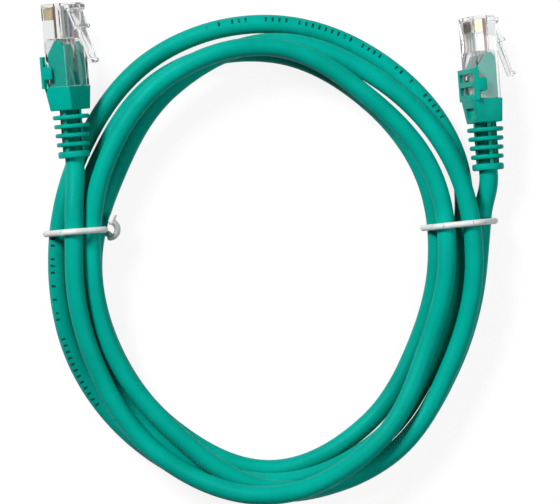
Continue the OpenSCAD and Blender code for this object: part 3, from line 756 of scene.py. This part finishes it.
def makeBootMaster():
    body = bootBox()
    combine(body, bootTail(), "UNION")
    combine(body, bootFrame(), "UNION")
    combine(body, bootCheeks(), "UNION")
    bore = addRod("bore", boot["boreD"], boot["back"] + plug["hollowL"] + 2 * past,
                  (0, (plug["hollowL"] - boot["back"]) / 2, 0), "y", boot["boreSides"])
    combine(body, bore)
    for angle in (45, -45):
        combine(body, ribWindows(angle))
    low = boot["frameZ"] - boot["frameT"]
    start = -boot["l"] + boot["recessRim"]
    half, deep = boot["recessW"] / 2, -boot["boreD"] / 2 - boot["recessFloor"]
    recess = addBlock("recess", (-half, start, low - past), (half, start + boot["recessL"], deep))
    bevelWhere(recess, boot["recessEdge"], lambda m, way: runsAlong(way, "z"))
    combine(body, recess)
    smoothEdges(body, boot["smooth"])
    return body


bootSet = {"dark": (0.0, 0.35, 0.272), "mid": (0.0, 0.4, 0.315), "light": (0.0, 0.445, 0.352),
           "tone": (160, 4, 0.6), "sheen": (700, 3), "rough": (0.34, 0.5), "shine": 0.14,
           "flow": (420, 2), "flowBump": (0.00004, 0.5), "grain": (4200, 3, 0.65),
           "grainBump": (0.000025, 0.6)}


def makeBootMaterial():
    mat, tree, shader = newMaterial("bootPlastic")
    place = objectPlace(tree)
    tree.links.new(greenOn(tree, place, bootSet), shader.inputs["Base Color"])
    roughOn(tree, shader, noiseOn(tree, place, *bootSet["sheen"]), bootSet["rough"])
    flow = bumpOn(tree, noiseOn(tree, place, *bootSet["flow"]), *bootSet["flowBump"])
    grain = noiseOn(tree, place, *bootSet["grain"])
    tree.links.new(bumpOn(tree, grain, *bootSet["grainBump"], flow), shader.inputs["Normal"])
    shineOn(shader, bootSet)
    return mat


bootPlastic = makeBootMaterial()
bootMaster = makeBootMaster()
bootMaster.data.materials.append(bootPlastic)
boots = {}
for side, end in ends.items():
    boots[side] = copyTo(bootMaster, side + "_boot_cover", end["place"])
    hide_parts(side + "_boot")
    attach(boots[side], "cord")
dropMaster(bootMaster)
print("boots made")


# plug housing: clear body with its hollow, wire row, contact slots, bar window and latch root
def contactX(i):
    return (plug["ways"] - 1) * plug["wayPitch"] / 2 - i * plug["wayPitch"]


def makeHousingMaster():
    w, h, nose = plug["w"] / 2, plug["h"] / 2, plug["l"]
    body = addBlock("housingMaster", (-w, 0, -h), (w, nose, h))
    bevelWhere(body, plug["edge"], lambda m, way: runsAlong(way, "y"))
    bevelWhere(body, plug["endEdge"], lambda m, way: runsAcross(way, "y") and (
        m.y < touch or m.y > nose - touch))
    rootW, rootTop = latch["rootW"] / 2, h + latch["rootH"]
    root = addBlock("root", (-rootW, latch["y"], h - latch["rootIn"]),
                    (rootW, nose - latch["rootBack"], rootTop))
    bevelWhere(root, latch["rootEdge"], lambda m, way: m.z > rootTop - touch or runsAlong(way, "z"))
    combine(body, root, "UNION")
    hollow = addBlock("hollow", (-plug["hollowW"] / 2, -past, -plug["hollowH"] / 2),
                      (plug["hollowW"] / 2, plug["hollowL"], plug["hollowH"] / 2))
    bevelWhere(hollow, plug["hollowEdge"], lambda m, way: runsAlong(way, "y") or (
        m.y > plug["hollowL"] - touch))
    combine(body, hollow)
    rowW, rowH = plug["ways"] * plug["wayPitch"] / 2, plug["wireD"] / 2 + plug["clear"]
    row = addBlock("row", (-rowW, plug["hollowL"] - plug["rowIn"], plug["rowZ"] - rowH),
                   (rowW, nose - plug["noseWall"], plug["rowZ"] + rowH))
    combine(body, row)
    slots = []
    for i in range(plug["ways"]):
        half = plug["bladeT"] / 2 + plug["clear"]
        slots.append(addBlock("slot", (contactX(i) - half, plug["bladeBack"] - plug["clear"], -h - past),
                              (contactX(i) + half, nose - plug["bladeInset"] + plug["clear"], plug["rowZ"])))
    combine(body, joinAll(slots))
    barW, gap = plug["barW"] / 2, plug["barClear"]
    window = addBlock("barWindow", (-barW - gap, plug["barAt"] - gap, -h - past),
                      (barW + gap, plug["barAt"] + plug["barL"] + gap, 0))
    combine(body, window)
    groove = addRod("groove", 2 * latch["grooveR"], latch["rootW"] + past, (0, latch["y"], latch["z"]), "x")
    combine(body, groove)
    smoothEdges(body, plug["smooth"])
    return body


# latch: rounded plate, shoulder step, narrow finger tab with a ridge, bead at its root
def makeLatchMaster():
    t, w, tip = latch["t"] / 2, latch["w"] / 2, latch["tipW"] / 2
    back, end, top, short = -latch["shoulderAt"], -latch["l"], t + latch["shoulderH"], latch["rodShort"]
    plate = addBlock("latchMaster", (-w, back, -t), (w, 0, t))
    bevelWhere(plate, latch["edge"], lambda m, way: runsAlong(way, "y") or m.y < back + touch)
    step = addBlock("shoulder", (-w, back, 0), (w, back + latch["t"], top))
    bevelWhere(step, latch["edge"], lambda m, way: m.z > top - touch)
    combine(plate, step, "UNION")
    tab = addBlock("tab", (-tip, end, -t), (tip, back + latch["tabIn"], t))
    bevelWhere(tab, latch["edge"], lambda m, way: runsAlong(way, "y") or m.y < end + touch)
    combine(plate, tab, "UNION")
    ridge = addRod("ridge", latch["ridge"], latch["tipW"] - short, (0, end, t / 2), "x", latch["ridgeSides"])
    bevelWhere(ridge, latch["rodEdge"], lambda m, way: abs(m.x) > tip - short and runsAcross(way, "x"))
    combine(plate, ridge, "UNION")
    bead = addRod("bead", latch["bead"], latch["w"] - short, (0, 0, 0), "x", latch["beadSides"])
    bevelWhere(bead, latch["rodEdge"], lambda m, way: abs(m.x) > w - short and runsAcross(way, "x"))
    combine(plate, bead, "UNION")
    smoothEdges(plate, latch["smooth"])
    return plate


clearSet = {"tint": (0.92, 0.93, 0.935), "lampTint": (0.93, 0.935, 0.935), "ior": 1.52,
            "haze": (380, 4, 0.6), "rough": (0.015, 0.05), "flow": (650, 2), "flowScale": (1, 0.35, 1),
            "flowBump": (0.00002, 0.5), "deepest": 5}


def makeClearMaterial():
    mat, tree, shader = newMaterial("clearPlastic")
    place = objectPlace(tree)
    shader.inputs["Base Color"].default_value = (*clearSet["tint"], 1)
    shader.inputs["Transmission Weight"].default_value = 1.0
    shader.inputs["IOR"].default_value = clearSet["ior"]
    roughOn(tree, shader, noiseOn(tree, place, *clearSet["haze"]), clearSet["rough"])
    flow = noiseOn(tree, objectPlace(tree, clearSet["flowScale"]), *clearSet["flow"])
    tree.links.new(bumpOn(tree, flow, *clearSet["flowBump"]), shader.inputs["Normal"])
    lampsPass = addNode(tree, "ShaderNodeBsdfTransparent", Color=(*clearSet["lampTint"], 1))
    path = tree.nodes.new("ShaderNodeLightPath")
    shown = shader.outputs[0]
    deep = mathOn(tree, "GREATER_THAN", path.outputs["Ray Depth"], clearSet["deepest"])
    # light goes straight through to the pieces inside, and so does a ray caught in a wall
    for ray in (deep, path.outputs["Is Diffuse Ray"], path.outputs["Is Shadow Ray"]):
        both = tree.nodes.new("ShaderNodeMixShader")
        tree.links.new(ray, both.inputs["Fac"])
        tree.links.new(shown, both.inputs[1])
        tree.links.new(lampsPass.outputs[0], both.inputs[2])
        shown = both.outputs[0]
    tree.links.new(shown, tree.nodes["Material Output"].inputs["Surface"])
    return mat


clearPlastic = makeClearMaterial()
housingMaster = makeHousingMaster()
latchMaster = makeLatchMaster()
for master in (housingMaster, latchMaster):
    master.data.materials.append(clearPlastic)
latchSeat = (Matrix.Translation((0, latch["y"] * mm, latch["z"] * mm))
             @ Matrix.Rotation(radians(-latch["angle"]), 4, "X"))
housings, latches = {}, {}
for side, end in ends.items():
    housings[side] = copyTo(housingMaster, side + "_plug_body", end["place"])
    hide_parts(side + "_plug_housing")
    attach(housings[side], "cord")
    latches[side] = copyTo(latchMaster, side + "_latch_arm", end["place"] @ latchSeat)
    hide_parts(side + "_plug_latch")
    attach(latches[side], side + "_latch")
dropMaster(housingMaster)
dropMaster(latchMaster)
print("plug bodies and latches made")


# wires: out of a ring in the jacket's end, spread sideways, closed up into the flat row
wireSet = {"sides": 16, "steps": 26, "rowSteps": 6, "straight": 0.4, "spreadRate": 1.6, "closeFrom": 0.4,
           "stripe": 0.3, "slant": 0.6, "tone": (900, 3, 0.6), "stops": (0.25, 0.75), "shade": 0.86,
           "rough": (0.3, 0.42), "grain": (5200, 2), "grainBump": (0.00001, 0.5),
           "white": (0.7, 0.69, 0.67), "hues": {
               "orange": (0.5, 0.2, 0.1), "green": (0.09, 0.24, 0.13), "blue": (0.09, 0.16, 0.32),
               "brown": (0.19, 0.1, 0.07)},
           "order": [("orange", True), ("orange", False), ("green", True), ("blue", False),
                     ("blue", True), ("green", False), ("brown", True), ("brown", False)]}


def eased(t):
    u = max(0.0, min(1.0, t))
    return u * u * (3 - 2 * u)


def wirePath(i):
    angle = pi * (i // 2 + 0.5) / (plug["ways"] / 2)
    up = 1 if i % 2 == 0 else -1
    a = Vector((plug["ringR"] * cos(angle), plug["jacketIn"], up * plug["ringR"] * sin(angle)))
    b = Vector((contactX(i), plug["hollowL"], plug["rowZ"]))
    start, late, rows = a.y + wireSet["straight"], wireSet["closeFrom"], wireSet["rowSteps"]
    points = [a]
    for k in range(wireSet["steps"] + 1):
        t = k / wireSet["steps"]
        points.append(Vector((a.x + (b.x - a.x) * eased(wireSet["spreadRate"] * t),
                              start + (b.y - start) * t,
                              a.z + (b.z - a.z) * eased((t - late) / (1 - late)))))
    for k in range(1, rows + 1):
        points.append(Vector((b.x, b.y + (plug["wireEnd"] - b.y) * k / rows, b.z)))
    return points


def makeWireMaterial(name, hue, striped):
    mat, tree, shader = newMaterial("wire" + name)
    place = objectPlace(tree)
    tone = noiseOn(tree, place, *wireSet["tone"])
    colour = wireSet["white"] if striped else wireSet["hues"][hue]
    shaded = tuple(c * wireSet["shade"] for c in colour)
    base = rampOn(tree, tone, list(zip(wireSet["stops"], (shaded, colour))))
    if striped:
        u, v = uvParts(tree)
        slant = mathOn(tree, "FRACT", mathOn(tree, "ADD", v, mathOn(tree, "MULTIPLY", u, wireSet["slant"])))
        base = mixOn(tree, mathOn(tree, "LESS_THAN", slant, wireSet["stripe"]), base, wireSet["hues"][hue])
    tree.links.new(base, shader.inputs["Base Color"])
    roughOn(tree, shader, tone, wireSet["rough"])
    grain = noiseOn(tree, place, *wireSet["grain"])
    tree.links.new(bumpOn(tree, grain, *wireSet["grainBump"]), shader.inputs["Normal"])
    return mat


wires = {"left": [], "right": []}
for i, (hue, striped) in enumerate(wireSet["order"]):
    insulation = makeWireMaterial(str(i + 1), hue, striped)
    for side, end in ends.items():
        points = [end["place"] @ (p * mm) / mm for p in wirePath(i)]
        wire = tubeAlong(side + "_conductor_" + str(i + 1), points, plug["wireD"], wireSet["sides"])
        wire.data.materials.append(insulation)
        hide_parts(side + "_wire_" + str(i + 1))
        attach(wire, "cord")
        wires[side].append(wire)
print("wires made")


# ties: coated wire round the bundle's corner strands, in an upright plane through each bundle
# leftRound and rightRound are the corner strands by their degrees along the coil, place is y and tilt
# the hook, the end gap and the bend are counted in tie diameters
tie = {"d": 1.7, "clear": 0.15, "arcSteps": 9, "smoothSteps": 3, "sides": 18, "searchSteps": 8,
       "place": {"left": (5.4, 4.3), "right": (7.8, 5.8)}, "leftRound": (720, 1440, 360),
       "rightRound": (540, 180, 900), "hookR": 1.32, "hookRise": 2.6, "hookSteps": 14, "hookFrom": 90,
       "hookSweep": 160, "hookTail": 2.3, "endGap": 1.2, "bend": 1.4, "tuck": 7.0}
tie["reach"] = cable["diameter"] / 2 + tie["clear"] + tie["d"] / 2


def tiePlane(side):
    sign = ends[side]["sign"]
    y, tilt = tie["place"][side][0], radians(tie["place"][side][1])
    at = Vector((cable["centre"][0] + sign * cable["coilRadius"], y, 0))
    out = Vector((sign * cos(tilt), sign * sin(tilt), 0))
    return at, out, Vector((-out.y, out.x, 0))


def inPlane(point, plane):
    at, out, beside = plane
    return Vector(((point - at).dot(out), point.z))


def strandIn(turned, plane):
    at, out, beside = plane
    for k in range(tie["searchSteps"]):
        rate = (strand(turned + 1) - strand(turned - 1)).dot(beside) / 2
        turned -= (strand(turned) - at).dot(beside) / rate
    return inPlane(strand(turned), plane)


def leadIn(start, way, plane):
    at, out, beside = plane
    return inPlane(start - way * ((start - at).dot(beside) / way.dot(beside)), plane)


def cornerArc(before, at, after):
    angles = []
    for a, b in ((before, at), (at, after)):
        way = (b - a).normalized()
        angles.append(atan2(-way.x, way.y))
    sweep = (angles[1] - angles[0]) % (2 * pi)
    return [at + tie["reach"] * Vector((cos(angles[0] + sweep * k / tie["arcSteps"]),
                                        sin(angles[0] + sweep * k / tie["arcSteps"])))
            for k in range(tie["arcSteps"] + 1)]


def tieRing(corners):
    n = len(corners)
    return sum([cornerArc(corners[i - 1], corners[i], corners[(i + 1) % n]) for i in range(n)], [])


def softPath(points, steps):
    path = [smoothBetween(points, i, k / steps) for i in range(len(points) - 1) for k in range(steps)]
    return path + [points[-1]]


def leftTiePath(plane):
    first = heading(0)
    start = strand(0) - cable["diameter"] * first
    lowInner, lowOuter, highInner = (strandIn(turned, plane) for turned in tie["leftRound"])
    ring = tieRing([lowInner, lowOuter, leadIn(start, -first, plane), highInner])
    low, high, d = ring[0], ring[-1], tie["d"]
    hookR, rise = tie["hookR"] * d, tie["hookRise"] * d
    path = [Vector((low.x - d, low.y + rise, -tie["hookTail"] * d))]
    for k in range(tie["hookSteps"], 0, -1):
        t = k / tie["hookSteps"]
        angle = radians(tie["hookFrom"] + tie["hookSweep"] * t)
        path.append(Vector((low.x + hookR * cos(angle), low.y + rise * t, hookR * sin(angle))))
    steps = tie["arcSteps"]
    path += [Vector((ring[k].x, ring[k].y, hookR * (1 - k / steps))) for k in range(steps + 1)]
    path += [Vector((p.x, p.y, 0)) for p in ring[steps + 1:]]
    return path + [Vector((high.x, high.y - d, 0)), Vector((high.x, low.y + tie["endGap"] * d, 0))]


def rightTiePath(plane):
    last = heading(cable["turned"])
    start = strand(cable["turned"]) + cable["diameter"] * last
    ring = tieRing([leadIn(start, last, plane)] + [strandIn(turned, plane) for turned in tie["rightRound"]])
    spot, d, half = ring[0], tie["d"], tie["d"] / 2 + tie["clear"] / 2
    path = [Vector((spot.x + half, spot.y, tie["tuck"])), Vector((spot.x + half, spot.y, d))]
    path += [Vector((p.x, p.y, 0)) for p in ring]
    away = spot.x - half - tie["clear"]
    return path + [Vector((spot.x - 2 * d, spot.y, 0)), Vector((away, spot.y, tie["bend"] * d)),
                   Vector((away, spot.y, tie["tuck"]))]


tieSet = {"shade": (0.8, 0.825, 0.825), "white": (0.9, 0.915, 0.915), "stops": (0.3, 0.65),
          "tone": (320, 4, 0.6), "sheen": (900, 3), "rough": (0.3, 0.48), "grain": (1400, 3),
          "grainBump": (0.00004, 0.6)}


def makeTieMaterial():
    mat, tree, shader = newMaterial("tiePlastic")
    place = objectPlace(tree)
    tone = noiseOn(tree, place, *tieSet["tone"])
    base = rampOn(tree, tone, list(zip(tieSet["stops"], (tieSet["shade"], tieSet["white"]))))
    tree.links.new(base, shader.inputs["Base Color"])
    roughOn(tree, shader, noiseOn(tree, place, *tieSet["sheen"]), tieSet["rough"])
    grain = noiseOn(tree, place, *tieSet["grain"])
    tree.links.new(bumpOn(tree, grain, *tieSet["grainBump"]), shader.inputs["Normal"])
    shader.inputs["IOR"].default_value = plasticIor
    return mat


tiePlastic = makeTieMaterial()
ties = {}
for side, pathOf in (("left", leftTiePath), ("right", rightTiePath)):
    plane = tiePlane(side)
    at, out, beside = plane
    path = softPath(pathOf(plane), tie["smoothSteps"])
    points = [at + p.x * out + Vector((0, 0, p.y)) + p.z * beside for p in path]
    ties[side] = tubeAlong(side + "_twist_tie", points, tie["d"], tie["sides"])
    ties[side].data.materials.append(tiePlastic)
    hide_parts(side + "_tie")
    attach(ties[side], "cord")
print("ties made")

# finishes of the parts that stay as they are
goldSet = {"dull": (0.62, 0.49, 0.29), "bright": (0.8, 0.67, 0.44), "tone": (1600, 3, 0.6),
           "brush": (900, 2), "brushScale": (6, 0.4, 6), "brushBump": (0.00001, 0.5), "rough": (0.32, 0.48)}


def makeGoldMaterial():
    mat, tree, shader = newMaterial("contactGold")
    shader.inputs["Metallic"].default_value = 1.0
    place = objectPlace(tree)
    tone = noiseOn(tree, place, *goldSet["tone"])
    base = rampOn(tree, tone, list(zip(noiseRange, (goldSet["dull"], goldSet["bright"]))))
    tree.links.new(base, shader.inputs["Base Color"])
    brushed = noiseOn(tree, objectPlace(tree, goldSet["brushScale"]), *goldSet["brush"])
    roughOn(tree, shader, brushed, goldSet["rough"])
    tree.links.new(bumpOn(tree, brushed, *goldSet["brushBump"]), shader.inputs["Normal"])
    return mat


def dress(name, mat):
    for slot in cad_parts[name].material_slots:
        slot.material = mat


contactGold = makeGoldMaterial()
for side in ends:
    dress(side + "_plug_contacts", contactGold)
    dress(side + "_strain_bar", clearPlastic)
print("contacts and bars dressed")

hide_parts("left_jacket_end", "left_lead", "cable_coil", "right_lead", "right_jacket_end")
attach(cableObj, "cord")
